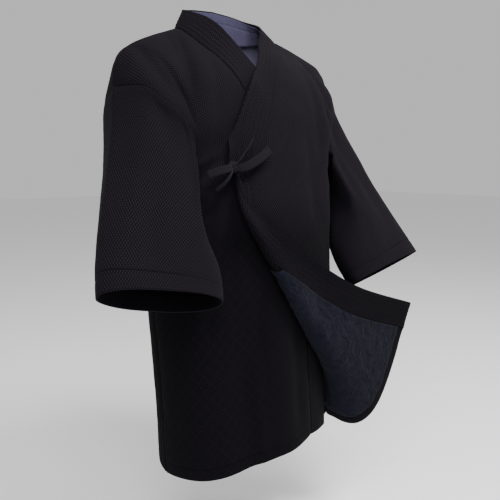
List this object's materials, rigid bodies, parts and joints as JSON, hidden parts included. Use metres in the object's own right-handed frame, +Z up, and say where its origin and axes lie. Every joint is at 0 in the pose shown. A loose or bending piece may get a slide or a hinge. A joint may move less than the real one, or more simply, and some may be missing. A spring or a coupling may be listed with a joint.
{
  "type": "kendo jacket",
  "caption": "Kendo jacket in its worn form with nobody in it: black quilted cotton, wide sleeves, crossed collar band, chest bow, one front corner turned back.",
  "frame": {"origin": "between the two points where the collar band meets the shoulder folds, at shoulder level, where a wearer's neck carries the jacket", "axes": "+Z up from the hem towards the collar; -Y the way the front faces; +X towards the wearer's left sleeve"},
  "size_m": [0.6984, 0.2947, 0.8271],
  "materials": {
    "quilted_cotton": "matt black cotton, woven with a rice-grain quilting stitch",
    "navy_lining": "matt dark navy plain cotton, slightly puckered",
    "pale_lining": "matt lavender-grey plain cotton"
  },
  "bodies": {
    "root": {"body_right": "quilted_cotton", "sleeve_right": "quilted_cotton", "yoke_lining_right": "pale_lining", "body_left": "quilted_cotton", "sleeve_left": "quilted_cotton", "yoke_lining_left": "pale_lining", "front_lining": "navy_lining", "collar_band_right": "quilted_cotton", "collar_band_left": "quilted_cotton", "chest_tie": "quilted_cotton", "neck_lining": "pale_lining"}
  },
  "joints": []
}
